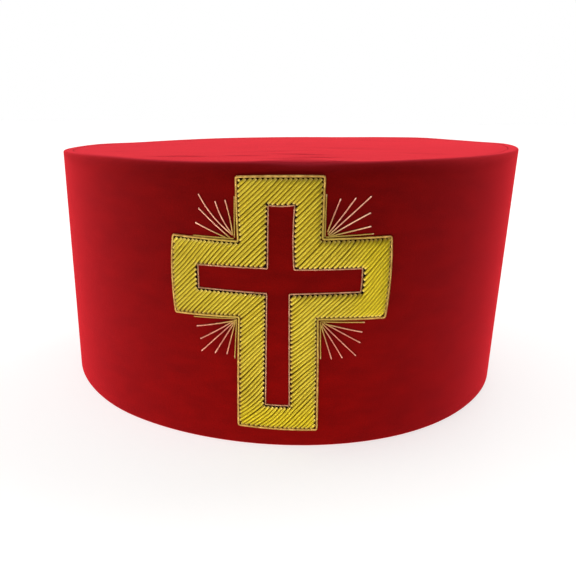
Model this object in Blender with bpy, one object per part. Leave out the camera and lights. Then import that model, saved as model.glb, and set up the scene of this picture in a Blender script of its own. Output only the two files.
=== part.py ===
"""A brimless velvet lodge cap: a stiff oval drum with a flat top, and a padded gold cross on its front.

Metres, +Z up. The cap stands on Z = 0 and its cross faces -Y. The Z axis runs through the oval's centre.
"""

import math

import bmesh
import bpy
import numpy as np
from mathutils import Matrix, Vector

# Crown: outside sizes of the oval drum
rim_width = 0.182  # side to side at the lower edge
rim_length = 0.204  # front to back at the lower edge
crown_height = 0.0905
crown_flare = 0.002  # the top edge stands out this far past the lower edge, all round
crown_lean = 0.0017  # the top edge is this much higher at +X, and lower at -X
wall_thickness = 0.0025  # card with velvet outside and lining cloth inside
hem_radius = 0.0008  # folded lower edge
top_edge_radius = 0.0018  # velvet rolled over the wall's upper edge
tip_thickness = 0.0025  # the flat top piece, set level inside the wall's upper edge
seam_radius = 0.0004  # both sides of the seam between the wall and the top piece

# Gap between pieces that touch on the real cap
clearance = 0.0003

# Cross: its outline is the middle line of the outer edging
foot_margin = 0.0060  # lower edge of the cap to the foot of the cross
head_margin = 0.0037  # head of the cross to the top edge
bar_width = 0.0251  # upright and arms alike
arm_reach = 0.0343  # middle of the cross to the end of an arm
arm_level = 0.612  # height of the arms' middle line, as a share of the cross's height
band_width = 0.0086  # between the two edgings' middle lines
pad_height = 0.0016  # top of the bullion over the velvet
pad_edge_height = 0.0007  # bullion where it turns down beside an edging
pad_round = 0.0022  # width of that turn

# Cords sewn down round the bullion, and the rays
outer_edging_diameter = 0.00095
inner_edging_diameter = 0.0006
ray_diameter = 0.00055
ray_reach = 0.0185  # the longest ray

# One fan of rays, from the one beside the upright to the one beside the arm
ray_columns = ("turn_deg", "share_of_reach")
ray_rows = (
    (1, 0.72),
    (18, 0.70),
    (32, 0.80),
    (45, 1.00),
    (58, 0.87),
    (73, 0.82),
    (88, 0.84),
)

# Fineness of the faceted surfaces
oval_segments = 96
wall_rows = 3
tip_rings = 3
arc_steps = 3
pad_spacing = 0.0034
cord_spacing = 0.0032
ray_steps = 4
tube_resolution = 1
tube_sides = 4 + 2 * tube_resolution
merge_distance = 0.000001

# Colours are scene-linear; roughness and metallic follow the real stuff
velvet = {"color": (0.42, 0.008, 0.014), "roughness": 0.85, "metallic": 0.0}
tip_velvet = {"color": (0.48, 0.012, 0.022), "roughness": 0.85, "metallic": 0.0}
bullion_gold = {"color": (0.62, 0.45, 0.05), "roughness": 0.4, "metallic": 0.9}
edging_gold = {"color": (0.48, 0.28, 0.08), "roughness": 0.45, "metallic": 0.8}
inner_gold = {"color": (0.46, 0.24, 0.10), "roughness": 0.45, "metallic": 0.8}
ray_gold = {"color": (0.60, 0.34, 0.16), "roughness": 0.4, "metallic": 0.8}

cross_top = crown_height - head_margin
cross_height = cross_top - foot_margin
arm_middle = foot_margin + arm_level * cross_height
tip_underside = crown_height - tip_thickness


def clear_scene():
    for old in list(bpy.data.objects):
        bpy.data.objects.remove(old, do_unlink=True)


def material(name, look):
    made = bpy.data.materials.new(name)
    made.use_nodes = True
    shader = made.node_tree.nodes["Principled BSDF"]
    shader.inputs["Base Color"].default_value = (*look["color"], 1.0)
    shader.inputs["Roughness"].default_value = look["roughness"]
    shader.inputs["Metallic"].default_value = look["metallic"]
    made.diffuse_color = (*look["color"], 1.0)
    return made


def add_object(name, data, look, parent, location=(0, 0, 0)):
    """Links data, whose points are in the cap's own frame, as an object whose origin is at location."""
    made = bpy.data.objects.new(name, data)
    bpy.context.scene.collection.objects.link(made)
    data.transform(Matrix.Translation(-Vector(location)))
    data.materials.append(material(name, look))
    made.parent = parent
    made.location = Vector(location) - parent.matrix_world.translation
    return made


def add_empty(name, location):
    made = bpy.data.objects.new(name, None)
    bpy.context.scene.collection.objects.link(made)
    made.location = location
    bpy.context.view_layer.update()
    return made


def mesh_from(build, name):
    mesh = bpy.data.meshes.new(name)
    build.to_mesh(mesh)
    build.free()
    mesh.shade_smooth()
    mesh.set_sharp_from_angle(angle=math.radians(40))
    return mesh


def half_axes(z, inset=0.0):
    """Half width and half length of the oval at height z, taken in by inset."""
    flare = crown_flare * z / crown_height
    return rim_width / 2 + flare - inset, rim_length / 2 + flare - inset


def leaned(x, y, z):
    return Vector((x, y, z + crown_lean * (z / crown_height) * (x / (rim_width / 2))))


def ring_points(inset, z):
    half_width, half_length = half_axes(z, inset)
    turns = [2 * math.pi * i / oval_segments for i in range(oval_segments)]
    return [leaned(half_width * math.sin(t), -half_length * math.cos(t), z) for t in turns]


def corner_arc(inset, z, radius, start_deg, end_deg):
    """Profile points round a corner whose arc centre is at (inset, z). 0 degrees points outwards, 90 up."""
    steps = [start_deg + (end_deg - start_deg) * i / arc_steps for i in range(arc_steps + 1)]
    return [
        (inset - radius * math.cos(math.radians(a)), z + radius * math.sin(math.radians(a)))
        for a in steps
    ]


def skin_rings(build, rings, closed):
    """Quads between neighbouring rings of vertices, and from the last ring to the first if closed."""
    pairs = list(zip(rings, rings[1:]))
    if closed:
        pairs.append((rings[-1], rings[0]))
    for low, high in pairs:
        for i in range(oval_segments):
            j = (i + 1) % oval_segments
            build.faces.new((low[i], low[j], high[j], high[i]))


def crown_side_mesh():
    """The drum's wall: folded hem, outer face, upper edge rolled in to the seam, inner face."""
    roll = min(top_edge_radius, wall_thickness - seam_radius)
    rise = crown_height - roll - hem_radius
    outer_face = [(0.0, hem_radius + rise * i / wall_rows) for i in range(1, wall_rows)]
    inner_face = [(wall_thickness, z) for _, z in reversed(outer_face)]
    profile = (
        corner_arc(hem_radius, hem_radius, hem_radius, -90, 0)
        + outer_face
        + corner_arc(roll, crown_height - roll, roll, 0, 90)
        + corner_arc(wall_thickness - seam_radius, crown_height - seam_radius, seam_radius, 90, 180)
        + inner_face
        + corner_arc(wall_thickness - hem_radius, hem_radius, hem_radius, 180, 270)
    )
    build = bmesh.new()
    rings = [[build.verts.new(p) for p in ring_points(inset, z)] for inset, z in profile]
    skin_rings(build, rings, closed=True)
    bmesh.ops.remove_doubles(build, verts=build.verts, dist=merge_distance)
    bmesh.ops.recalc_face_normals(build, faces=build.faces)
    return mesh_from(build, "crown_side")


def crown_top_mesh():
    """The flat top, an oval plate level with the wall's upper edge and just inside it."""
    half_width = half_axes(crown_height)[0]
    side = wall_thickness + clearance
    edge = corner_arc(side + seam_radius, tip_underside + seam_radius, seam_radius, -90, 0) + corner_arc(
        side + seam_radius, crown_height - seam_radius, seam_radius, 0, 90
    )
    inward = [side + (half_width - side) * i / (tip_rings + 1) for i in range(1, tip_rings + 1)]
    profile = (
        [(inset, tip_underside) for inset in reversed(inward)]
        + edge
        + [(inset, crown_height) for inset in inward]
    )
    build = bmesh.new()
    rings = [[build.verts.new(p) for p in ring_points(inset, z)] for inset, z in profile]
    skin_rings(build, rings, closed=False)
    for ring, z in ((rings[0], tip_underside), (rings[-1], crown_height)):
        centre = build.verts.new((0, 0, z))
        for i in range(oval_segments):
            build.faces.new((ring[i], ring[(i + 1) % oval_segments], centre))
    bmesh.ops.recalc_face_normals(build, faces=build.faces)
    return mesh_from(build, "crown_top")


def arc_table(half_width, half_length):
    """Plan angles from the front centre, and the run along the oval to each."""
    turns = np.linspace(0.0, math.pi, 721)
    speed = np.hypot(half_width * np.cos(turns), half_length * np.sin(turns))
    steps = (speed[1:] + speed[:-1]) / 2 * np.diff(turns)
    return turns, np.concatenate([[0.0], np.cumsum(steps)])


middle_axes = half_axes(crown_height / 2)
turn_samples, run_samples = arc_table(*middle_axes)


def on_wall(run, z, out):
    """The point at this run round the wall from the front centre, at height z, and out from the wall."""
    half_width, half_length = half_axes(z)
    even_run = abs(run) * sum(middle_axes) / (half_width + half_length)
    turn = math.copysign(float(np.interp(even_run, run_samples, turn_samples)), run)
    x = half_width * math.sin(turn)
    y = -half_length * math.cos(turn)
    normal = Vector((x / half_width**2, y / half_length**2, 0)).normalized()
    return leaned(x + out * normal.x, y + out * normal.y, z)


def arm_lines(inset):
    return arm_middle - bar_width / 2 + inset, arm_middle + bar_width / 2 - inset


def depth_in_cross(run, z):
    """How far the outline can be taken in before it passes this point of the wall."""
    arm_low, arm_high = arm_lines(0.0)
    in_upright = min(bar_width / 2 - abs(run), z - foot_margin, cross_top - z)
    in_arms = min(arm_reach - abs(run), z - arm_low, arm_high - z)
    return max(in_upright, in_arms)


def cross_outline(inset):
    """The twelve corners of the cross, taken in by inset, from the head's left corner clockwise."""
    half, reach = bar_width / 2 - inset, arm_reach - inset
    low, high = arm_lines(inset)
    head, foot = cross_top - inset, foot_margin + inset
    right = [(half, head), (half, high), (reach, high), (reach, low), (half, low), (half, foot)]
    return [(-half, head)] + right + [(-run, z) for run, z in reversed(right[1:])]


def with_fill(lines, spacing):
    """The sorted lines, with evenly spaced ones added wherever two lie further apart than spacing."""
    lines = sorted(lines)
    filled = [lines[0]]
    for start, end in zip(lines, lines[1:]):
        count = math.ceil((end - start) / spacing)
        filled += [start + (end - start) * i / count for i in range(1, count + 1)]
    return filled


def bullion_insets():
    """How far in the bullion starts and ends, measured from the outline."""
    return (
        outer_edging_diameter / 2 + clearance,
        band_width - inner_edging_diameter / 2 - clearance,
    )


def pad_out(into_band):
    """Height of the bullion over the wall, at this distance in from the nearer edge of the band."""
    share = min(max(into_band / pad_round, 0.0), 1.0)
    return pad_edge_height + (pad_height - pad_edge_height) * math.sqrt(1 - (1 - share) ** 2)


def cross_bullion_mesh():
    """The padded frame of the cross, bent to the wall, with rounded shoulders."""
    first, last = bullion_insets()
    turns_down = (0.0, pad_round * 0.3, pad_round)
    insets = [first + t for t in turns_down] + [last - t for t in turns_down]
    right_runs = [size - inset for size in (bar_width / 2, arm_reach) for inset in insets]
    runs = with_fill([-run for run in right_runs] + right_runs, pad_spacing)
    levels = []
    for inset in insets:
        levels += [foot_margin + inset, cross_top - inset, *arm_lines(inset)]
    levels = with_fill(levels, pad_spacing)

    build = bmesh.new()
    points = {}

    def vertex(i, j, top):
        if (i, j, top) not in points:
            depth = depth_in_cross(runs[i], levels[j])
            out = pad_out(min(depth - first, last - depth)) if top else clearance
            points[i, j, top] = build.verts.new(on_wall(runs[i], levels[j], out))
        return points[i, j, top]

    def in_band(i, j):
        if not (0 <= i < len(runs) - 1 and 0 <= j < len(levels) - 1):
            return False
        run = (runs[i] + runs[i + 1]) / 2
        return first < depth_in_cross(run, (levels[j] + levels[j + 1]) / 2) < last

    for i in range(len(runs) - 1):
        for j in range(len(levels) - 1):
            if not in_band(i, j):
                continue
            corners = ((i, j), (i + 1, j), (i + 1, j + 1), (i, j + 1))
            build.faces.new([vertex(*c, True) for c in corners])
            build.faces.new([vertex(*c, False) for c in reversed(corners)])
            neighbours = ((i, j - 1), (i + 1, j), (i, j + 1), (i - 1, j))
            for k, neighbour in enumerate(neighbours):
                if not in_band(*neighbour):
                    start, end = corners[k], corners[(k + 1) % 4]
                    side = ((*start, False), (*end, False), (*end, True), (*start, True))
                    build.faces.new([vertex(*c) for c in side])
    bmesh.ops.recalc_face_normals(build, faces=build.faces)
    return mesh_from(build, "cross_bullion")


def rounded(corners, radius):
    """The closed outline with each corner turned by a short arc."""
    turned = []
    for i, corner in enumerate(corners):
        here = Vector(corner)
        back = (Vector(corners[i - 1]) - here).normalized()
        ahead = (Vector(corners[(i + 1) % len(corners)]) - here).normalized()
        centre = here + (back + ahead) * radius
        for k in range(arc_steps + 1):
            angle = math.pi / 2 * k / arc_steps
            turned.append(centre - ahead * radius * math.cos(angle) - back * radius * math.sin(angle))
    return turned


def stepped(points, spacing, closed):
    """The same route with points added, so that none are further apart than spacing."""
    ends = points[1:] + points[:1] if closed else points[1:]
    route = []
    for start, end in zip(points, ends):
        count = max(1, math.ceil((end - start).length / spacing))
        route += [start.lerp(end, i / count) for i in range(count)]
    return route if closed else route + [points[-1]]


def cord_curve(name, route, diameter, closed, roll=0.0):
    """A round cord lying on the wall along a route of (run, height) points, rolled about its own line."""
    curve = bpy.data.curves.new(name, "CURVE")
    curve.dimensions = "3D"
    curve.bevel_depth = diameter / 2
    curve.bevel_resolution = tube_resolution
    curve.use_fill_caps = not closed
    spline = curve.splines.new("POLY")
    spline.points.add(len(route) - 1)
    spline.use_cyclic_u = closed
    for point, (run, z) in zip(spline.points, route):
        point.co = (*on_wall(run, z, clearance + diameter / 2), 1.0)
        point.tilt = roll
    return curve


def edging_curve(name, inset, diameter):
    turned = rounded(cross_outline(inset), diameter / 2 + clearance)
    return cord_curve(name, stepped(turned, cord_spacing, True), diameter, closed=True)


def fan_routes(side, up):
    """The routes of one fan. side is 1 at +X and -1 at -X; up is 1 over the arms and -1 under them."""
    off_edging = (outer_edging_diameter + ray_diameter) / 2 + clearance + ray_diameter / 2
    arm_low, arm_high = arm_lines(0.0)
    arm_edge = arm_high if up > 0 else arm_low
    meet = Vector((side * (bar_width / 2 + off_edging), arm_edge + up * off_edging))
    routes = []
    for row in ray_rows:
        ray = dict(zip(ray_columns, row))
        turn = math.radians(ray["turn_deg"])
        along = Vector((side * math.sin(turn), up * math.cos(turn)))
        start = meet - along * ray_diameter / 2
        end = meet + along * ray_reach * ray["share_of_reach"]
        routes.append([start.lerp(end, i / ray_steps) for i in range(ray_steps + 1)])
    return routes


def ray_object(name, curve, collection, parent):
    """One ray as a mesh object in the collection, placed under its parent."""
    drawn = bpy.data.objects.new(f"{name}_curve", curve)
    bpy.context.scene.collection.objects.link(drawn)
    bpy.context.view_layer.update()
    mesh = bpy.data.meshes.new_from_object(drawn)
    bpy.data.objects.remove(drawn, do_unlink=True)
    mesh.shade_smooth()
    made = bpy.data.objects.new(name, mesh)
    collection.objects.link(made)
    made.parent = parent
    made.location = -parent.matrix_world.translation
    return made


def add_fan(name, side, up, parent):
    """One solid of seven rays: the middle one, with the others joined to it where they meet.

    Every other ray is rolled by half of one of its sides, so that where two part, no edge lies along an edge.
    """
    half_side = math.pi / tube_sides
    curves = [
        cord_curve(f"{name}_{i}", route, ray_diameter, closed=False, roll=half_side * (i % 2))
        for i, route in enumerate(fan_routes(side, up))
    ]
    middle = len(curves) // 2
    others = bpy.data.collections.new(f"{name}_others")
    bpy.context.scene.collection.children.link(others)
    for i, curve in enumerate(curves):
        if i != middle:
            ray = ray_object(f"{name}_ray_{i}", curve, others, parent)
            ray.hide_render = True
            ray.display_type = "WIRE"
    fan = ray_object(name, curves[middle], bpy.context.scene.collection, parent)
    fan.data.materials.append(material(name, ray_gold))
    union = fan.modifiers.new("join_rays", "BOOLEAN")
    union.operation = "UNION"
    union.operand_type = "COLLECTION"
    union.collection = others
    return fan


def build_cap():
    clear_scene()
    crown = add_empty("crown_axis", (0, 0, 0))
    front = add_empty("cross_place", on_wall(0.0, arm_middle, 0.0))
    at_cross = tuple(front.location)

    add_object("crown_side", crown_side_mesh(), velvet, crown)
    add_object("crown_top", crown_top_mesh(), tip_velvet, crown, (0, 0, tip_underside))
    add_object("cross_bullion", cross_bullion_mesh(), bullion_gold, front, at_cross)
    outer = edging_curve("outer_edging", 0.0, outer_edging_diameter)
    add_object("outer_edging", outer, edging_gold, front, at_cross)
    inner = edging_curve("inner_edging", band_width, inner_edging_diameter)
    add_object("inner_edging", inner, inner_gold, front, at_cross)
    for level, up in (("upper", 1), ("lower", -1)):
        for hand, side in (("left", -1), ("right", 1)):
            add_fan(f"rays_{level}_{hand}", side, up, front)


build_cap()
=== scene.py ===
import math

import bpy
import numpy as np
from mathutils import Matrix, Vector


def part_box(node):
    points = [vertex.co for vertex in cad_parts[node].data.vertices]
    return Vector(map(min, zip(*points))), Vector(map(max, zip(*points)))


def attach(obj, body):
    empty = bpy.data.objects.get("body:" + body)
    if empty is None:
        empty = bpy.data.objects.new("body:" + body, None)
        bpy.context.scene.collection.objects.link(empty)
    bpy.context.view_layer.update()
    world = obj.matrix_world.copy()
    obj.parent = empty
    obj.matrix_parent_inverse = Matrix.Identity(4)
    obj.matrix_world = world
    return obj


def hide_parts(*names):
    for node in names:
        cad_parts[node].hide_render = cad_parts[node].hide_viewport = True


# A stiff oval velvet cap with a gold-work cross on its front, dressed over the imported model.
# Everything is in metres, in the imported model's own frame: +Z up, the cross facing -Y.

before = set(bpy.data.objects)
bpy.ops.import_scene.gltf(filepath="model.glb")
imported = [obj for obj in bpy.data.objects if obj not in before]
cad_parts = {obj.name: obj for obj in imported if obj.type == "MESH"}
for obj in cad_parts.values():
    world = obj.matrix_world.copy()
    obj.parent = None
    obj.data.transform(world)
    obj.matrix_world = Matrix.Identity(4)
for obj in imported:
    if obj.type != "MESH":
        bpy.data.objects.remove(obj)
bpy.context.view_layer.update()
mm = 0.001
print("packed model loaded:", len(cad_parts), "nodes")

# The drum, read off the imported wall; its flare and lean are the two sizes that a box can't tell
drum = {
    "flare": 2.0 * mm,  # the top edge stands this far past the lower one, all round
    "lean": 1.7 * mm,  # and is this much higher at +X
    "wallThick": 2.5 * mm,
    "footReach": 26 * mm,  # how far up the foot's unevenness reaches
    "columns": 480,
    "runSteps": 1441,
}
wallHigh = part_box("crown_side")[1]
rimHalfWidth = wallHigh.x - drum["flare"]
rimHalfLength = wallHigh.y - drum["flare"]
crownHeight = wallHigh.z - drum["lean"] * (1 + drum["flare"] / rimHalfWidth)


def halfAxes(z, inset=0.0):
    flare = drum["flare"] * z / crownHeight
    return rimHalfWidth + flare - inset, rimHalfLength + flare - inset


def drumPoints(turn, z, inset=0.0):  # turn is the plan angle from the front towards +X
    halfWidth, halfLength = halfAxes(z, inset)
    x, y = halfWidth * np.sin(turn), -halfLength * np.cos(turn)
    lean = drum["lean"] * (z / crownHeight) * (x / rimHalfWidth)
    return np.stack(np.broadcast_arrays(x, y, z + lean), axis=-1)


# The top edge isn't quite level: how much higher it stands than the plain drum, round the plan
edgeWave = (
    (0, 0.8), (5, 1.05), (14, -0.25), (21, -0.1), (31, -0.15), (43, -0.38), (60, -0.4), (78, -0.1),
    (90, 0.15), (105, -0.3), (118, -0.15), (131, 0.4), (146, 0.15), (161, -0.15), (180, 0.0), (205, 0.1),
    (220, -0.1), (237, -0.3), (255, 0.4), (275, 0.35), (300, 0.65), (318, 0.95), (329, 0.55), (338, 0.28),
    (348, 0.25), (355, 0.35),
)
# Nor is the foot a perfect oval: how far it stands out of the plain drum
footWave = (
    (0, 0.8), (12, 1.1), (27, 1.2), (38, 0.8), (52, 0.1), (180, 0.0), (270, -0.1), (292, 0.0), (308, 0.3),
    (322, 1.0), (332, 0.65), (348, 0.55),
)
wave = {"steps": 720, "blurReach": 20, "blur": 7}
fineTurns = np.arange(wave["steps"]) * 2 * math.pi / wave["steps"]


def evenWave(rows):  # a table of turns and sizes as a smooth line round the plan
    turns, sizes = np.array(rows).T
    fine = np.interp(fineTurns, np.radians(turns), sizes * mm, period=2 * math.pi)
    reach = wave["blurReach"]
    blur = np.exp(-0.5 * (np.arange(-reach, reach + 1) / wave["blur"]) ** 2)
    return np.convolve(np.concatenate([fine[-reach:], fine, fine[:reach]]), blur / blur.sum(), "valid")


edgeLine, footLine = evenWave(edgeWave), evenWave(footWave)


def roundPlan(line, turn):
    return np.interp(turn, fineTurns, line, period=2 * math.pi)


def smooth(share):
    share = np.clip(share, 0, 1)
    return share * share * (3 - 2 * share)


def ovalNormal(x, y, halfWidth, halfLength):
    normal = np.stack([x / halfWidth**2, y / halfLength**2], axis=-1)
    return normal / np.linalg.norm(normal, axis=-1, keepdims=True)


middleAxes = halfAxes(crownHeight / 2)
turnSamples = np.linspace(0.0, math.pi, drum["runSteps"])
speed = np.hypot(middleAxes[0] * np.cos(turnSamples), middleAxes[1] * np.sin(turnSamples))
runSamples = np.concatenate([[0.0], np.cumsum((speed[1:] + speed[:-1]) / 2 * np.diff(turnSamples))])


def onWall(run, z, out):  # where the embroidery lies: run round the wall from the front, height, and out
    run, z = np.broadcast_arrays(np.asarray(run, float), np.asarray(z, float))
    halfWidth, halfLength = halfAxes(z)
    evenRun = np.abs(run) * sum(middleAxes) / (halfWidth + halfLength)
    turn = np.sign(run) * np.interp(evenRun, runSamples, turnSamples)
    x, y = halfWidth * np.sin(turn), -halfLength * np.cos(turn)
    normal = ovalNormal(x, y, halfWidth, halfLength)
    out = out + roundPlan(footLine, turn) * smooth(1 - z / drum["footReach"])
    x, y = x + out * normal[..., 0], y + out * normal[..., 1]
    lean = drum["lean"] * (z / crownHeight) * (x / rimHalfWidth)
    return np.stack([x, y, z + lean], axis=-1)


def outwards(points):  # the wall's own direction outwards at points on it
    normal = ovalNormal(points[..., 0], points[..., 1], *middleAxes)
    return np.concatenate([normal, np.zeros_like(normal[..., :1])], axis=-1)


# Small helpers for nodes, colours and meshes
def linear(hexColour):
    parts = [int(hexColour[i : i + 2], 16) / 255 for i in (0, 2, 4)]
    return (*(p / 12.92 if p <= 0.04045 else ((p + 0.055) / 1.055) ** 2.4 for p in parts), 1.0)


def addNode(tree, kind, inputs=None, **settings):  # an input takes a value or another node's output
    node = tree.nodes.new(kind)
    for name, value in settings.items():
        setattr(node, name, value)
    for socket, item in (inputs or {}).items():
        if isinstance(item, bpy.types.NodeSocket):
            tree.links.new(item, node.inputs[socket])
        else:
            node.inputs[socket].default_value = item
    return node


rangeInputs = ("From Min", "From Max", "To Min", "To Max")


def newMaterial(name, **values):
    made = bpy.data.materials.new(name)
    made.use_nodes = True
    shader = made.node_tree.nodes["Principled BSDF"]
    for socket, value in values.items():
        shader.inputs[socket.replace("_", " ")].default_value = value
    return made, made.node_tree


def surfaced(made, colour, bump=None):  # gives the material's shader its colour and its relief
    tree = made.node_tree
    shader = tree.nodes["Principled BSDF"]
    tree.links.new(colour, shader.inputs["Base Color"])
    if bump:
        tree.links.new(bump.outputs["Normal"], shader.inputs["Normal"])
    return made


def placed(name, data):
    made = bpy.data.objects.new(name, data)
    bpy.context.scene.collection.objects.link(made)
    return made


def meshObject(name, points, faces, materials, faceSlots=None):
    mesh = bpy.data.meshes.new(name)
    mesh.from_pydata([tuple(p) for p in points], [], faces)
    for material in materials:
        mesh.materials.append(material)
    if faceSlots is not None:
        mesh.polygons.foreach_set("material_index", faceSlots)
    mesh.shade_smooth()
    return placed(name, mesh)


def ringFaces(rows, columns, closed=False):  # quads between the rings, facing out when these go up
    faces = []
    for i in range(rows if closed else rows - 1):
        low, high = i * columns, (i + 1) % rows * columns
        for j in range(columns):
            k = (j + 1) % columns
            faces.append((low + j, low + k, high + k, high + j))
    return faces


def hand(piece, slot, *nodes):  # every piece rides with the cap and stands for its CAD nodes
    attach(piece, "root")
    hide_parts(*nodes)
    print(piece.name, sum(len(face.vertices) - 2 for face in piece.data.polygons), "triangles")


def addMap(piece, across, up):  # a map in real metres, a point at a time
    layer = piece.data.uv_layers.new(name="clothMap")
    corners = np.zeros(len(piece.data.loops), int)
    piece.data.loops.foreach_get("vertex_index", corners)
    layer.data.foreach_set("uv", np.stack([across[corners], up[corners]], axis=1).ravel())


# Camera: a short lens close to the cap, a little above its top, turned slightly off the middle
cameraSet = {
    "distance": 301.8 * mm,
    "height": 104.8 * mm,
    "roundDeg": 0.50,
    "panDeg": 4.23,
    "pitchDeg": 16.13,
    "rollDeg": 0.40,
    "lens": 42.11,
    "sensor": 36.0,
    "shift": (0.0833, 0.0311),
    "clip": (10 * mm, 50.0),
}


def makeCamera():
    data = bpy.data.cameras.new("camera")
    data.lens, data.sensor_width = cameraSet["lens"], cameraSet["sensor"]
    data.shift_x, data.shift_y = cameraSet["shift"]
    data.clip_start, data.clip_end = cameraSet["clip"]
    camera = placed("camera", data)
    angles = ("roundDeg", "panDeg", "pitchDeg", "rollDeg")
    around, pan, pitch, roll = (math.radians(cameraSet[name]) for name in angles)
    away = cameraSet["distance"]
    turned = Matrix.Translation((math.sin(around) * away, -math.cos(around) * away, cameraSet["height"]))
    for angle, axis in ((pan, "Z"), (math.pi / 2 - pitch, "X"), (roll, "Z")):
        turned = turned @ Matrix.Rotation(angle, 4, axis)
    camera.matrix_world = turned
    bpy.context.scene.camera = camera


makeCamera()
bpy.context.scene.view_settings.view_transform = "Standard"
print("camera placed")

# Velvet: a dense upright silk pile. Seen end on it swallows light and is deep; seen along the surface
# the hair tips catch the light, so it blooms at every edge that turns away.
velvet = {
    "wallHigh": "4c0200",  # painted shade: the wall is painted deeper towards the top and paler towards the foot, for how the light falls on it
    "wallLow": "5b0200",
    "flat": "761c29",  # painted light: where the surface faces up, on the top, the velvet is painted paler, for the light that falls on it
    "turns": (0.75, 1.0),  # how far the surface faces up where the wall's look ends and the top's is reached
    "sheen": 0.89,
    "sheenRough": 0.53,
    "sheenTint": "ff323e",
    "patch": (11 * mm, 4 * mm),  # soft patches where the pile lies another way: along the cloth, and up it
    "patchSpan": (0.3, 0.7),  # the part of the noise that they use
    "patchShare": 0.17,
    "hair": 0.35 * mm,  # tufts, drawn coarser than the real hairs so that they show
    "hairRise": 0.12 * mm,
    "fanShade": 0.45,  # painted shade: how much darker the velvet is painted around the ray fans, where shade falls between the rays
    "fanShadeReach": 5.0 * mm,
    "fanShadePlaces": ((-16, 72), (16, 72), (-16, 40), (16, 40)),  # run and height in mm
}


def silkVelvet(look):
    made, tree = newMaterial(
        "red silk velvet",
        Roughness=0.9,
        IOR=1.46,
        Specular_IOR_Level=0.02,
        Sheen_Weight=look["sheen"],
        Sheen_Roughness=look["sheenRough"],
        Sheen_Tint=linear(look["sheenTint"]),
    )
    cloth = addNode(tree, "ShaderNodeTexCoord").outputs
    place = cloth["Object"]
    height = addNode(tree, "ShaderNodeSeparateXYZ", {"Vector": place}).outputs["Z"]
    facing = addNode(tree, "ShaderNodeSeparateXYZ", {"Vector": cloth["Normal"]}).outputs["Z"]
    tone = linear(look["wallLow"])
    # painted shade and light: darker towards the wall's top, paler where the surface faces up
    for source, span, name in ((height, (0.0, crownHeight), "wallHigh"), (facing, look["turns"], "flat")):
        limits = dict(zip(rangeInputs, span), Value=source)
        share = addNode(tree, "ShaderNodeMapRange", limits, interpolation_type="SMOOTHSTEP").outputs["Result"]
        layer = {"Factor": share, "A": tone, "B": linear(look[name])}
        tone = addNode(tree, "ShaderNodeMix", layer, data_type="RGBA").outputs["Result"]
    wide, tall = look["patch"]
    scaled = {0: place, 1: (1 / wide, 1 / wide, 1 / tall)}
    rows = addNode(tree, "ShaderNodeVectorMath", scaled, operation="MULTIPLY").outputs["Vector"]
    patches = addNode(tree, "ShaderNodeTexNoise", {"Vector": rows, "Scale": 1.0, "Detail": 3.0})
    # painted shade around the ray fans
    fanShade = addNode(tree, "ShaderNodeAttribute", attribute_name="fanShade")
    shades = (
        (patches, (*look["patchSpan"], 1 - look["patchShare"], 1 + look["patchShare"])),
        (fanShade, (0.0, 1.0, 1.0, 1 - look["fanShade"])),
    )
    for source, span in shades:
        limits = dict(zip(rangeInputs, span), Value=source.outputs["Fac"])
        layer = {"Factor": 1.0, "A": tone, "B": addNode(tree, "ShaderNodeMapRange", limits).outputs["Result"]}
        mixed = addNode(tree, "ShaderNodeMix", layer, data_type="RGBA", blend_type="MULTIPLY")
        tone = mixed.outputs["Result"]
    hair = addNode(tree, "ShaderNodeTexNoise", {"Vector": place, "Scale": 1 / look["hair"], "Detail": 2.0})
    rise = {"Strength": 0.6, "Distance": look["hairRise"], "Height": hair.outputs["Fac"]}
    return surfaced(made, tone, addNode(tree, "ShaderNodeBump", rise))


redVelvet = silkVelvet(velvet)

# Inside: stiffened plain-woven cotton, matt and a little uneven
backing = {
    "warp": "cfc4ab",
    "weft": "b9ad93",
    "thread": 0.9 * mm,  # drawn twice as coarse as real threads
    "rise": 0.15 * mm,
}


def stiffCotton():
    made, tree = newMaterial("stiffened cotton", Roughness=0.85, Specular_IOR_Level=0.25)
    cloth = addNode(tree, "ShaderNodeTexCoord").outputs["UV"]
    split = addNode(tree, "ShaderNodeSeparateXYZ", {"Vector": cloth})
    waves = {}
    for i, axis in enumerate(("X", "Y")):
        scaled = {0: split.outputs[axis], 1: math.pi / backing["thread"]}
        turn = addNode(tree, "ShaderNodeMath", scaled, operation="MULTIPLY").outputs[0]
        waves[i] = addNode(tree, "ShaderNodeMath", {0: turn}, operation="SINE").outputs[0]
    crossing = addNode(tree, "ShaderNodeMath", waves, operation="MULTIPLY").outputs[0]
    height = addNode(tree, "ShaderNodeMapRange", {"Value": crossing, "From Min": -1.0}).outputs["Result"]
    threads = {"Factor": height, "A": linear(backing["weft"]), "B": linear(backing["warp"])}
    tone = addNode(tree, "ShaderNodeMix", threads, data_type="RGBA").outputs["Result"]
    rise = {"Strength": 0.5, "Distance": backing["rise"], "Height": height}
    return surfaced(made, tone, addNode(tree, "ShaderNodeBump", rise))


cottonInside = stiffCotton()

# Wall: velvet over card, rolled over the top edge to a seam, folded under at the hem
wallPiece = {
    "hemRound": 0.7 * mm,
    "seamInset": 4.0 * mm,
    "seamDip": 0.05 * mm,
    "seamDepth": 1.1 * mm,
    "seamFlat": 0.2 * mm,  # stays flat beside the seam where the roll is wide
    "seamShares": (0.5, 0.8, 1.0),
    "waveReach": 9 * mm,  # how far down the edge's unevenness reaches
    "rows": 36,
    "arcRows": 12,
    "liningDrop": 1.2 * mm,  # from the seam's foot to the lining's first ring
    "liningTop": 3 * mm,
    "liningRows": 13,
    "hemRows": 4,
    "foldedRings": 3,  # the velvet is folded under this far inside the hem
}
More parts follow.
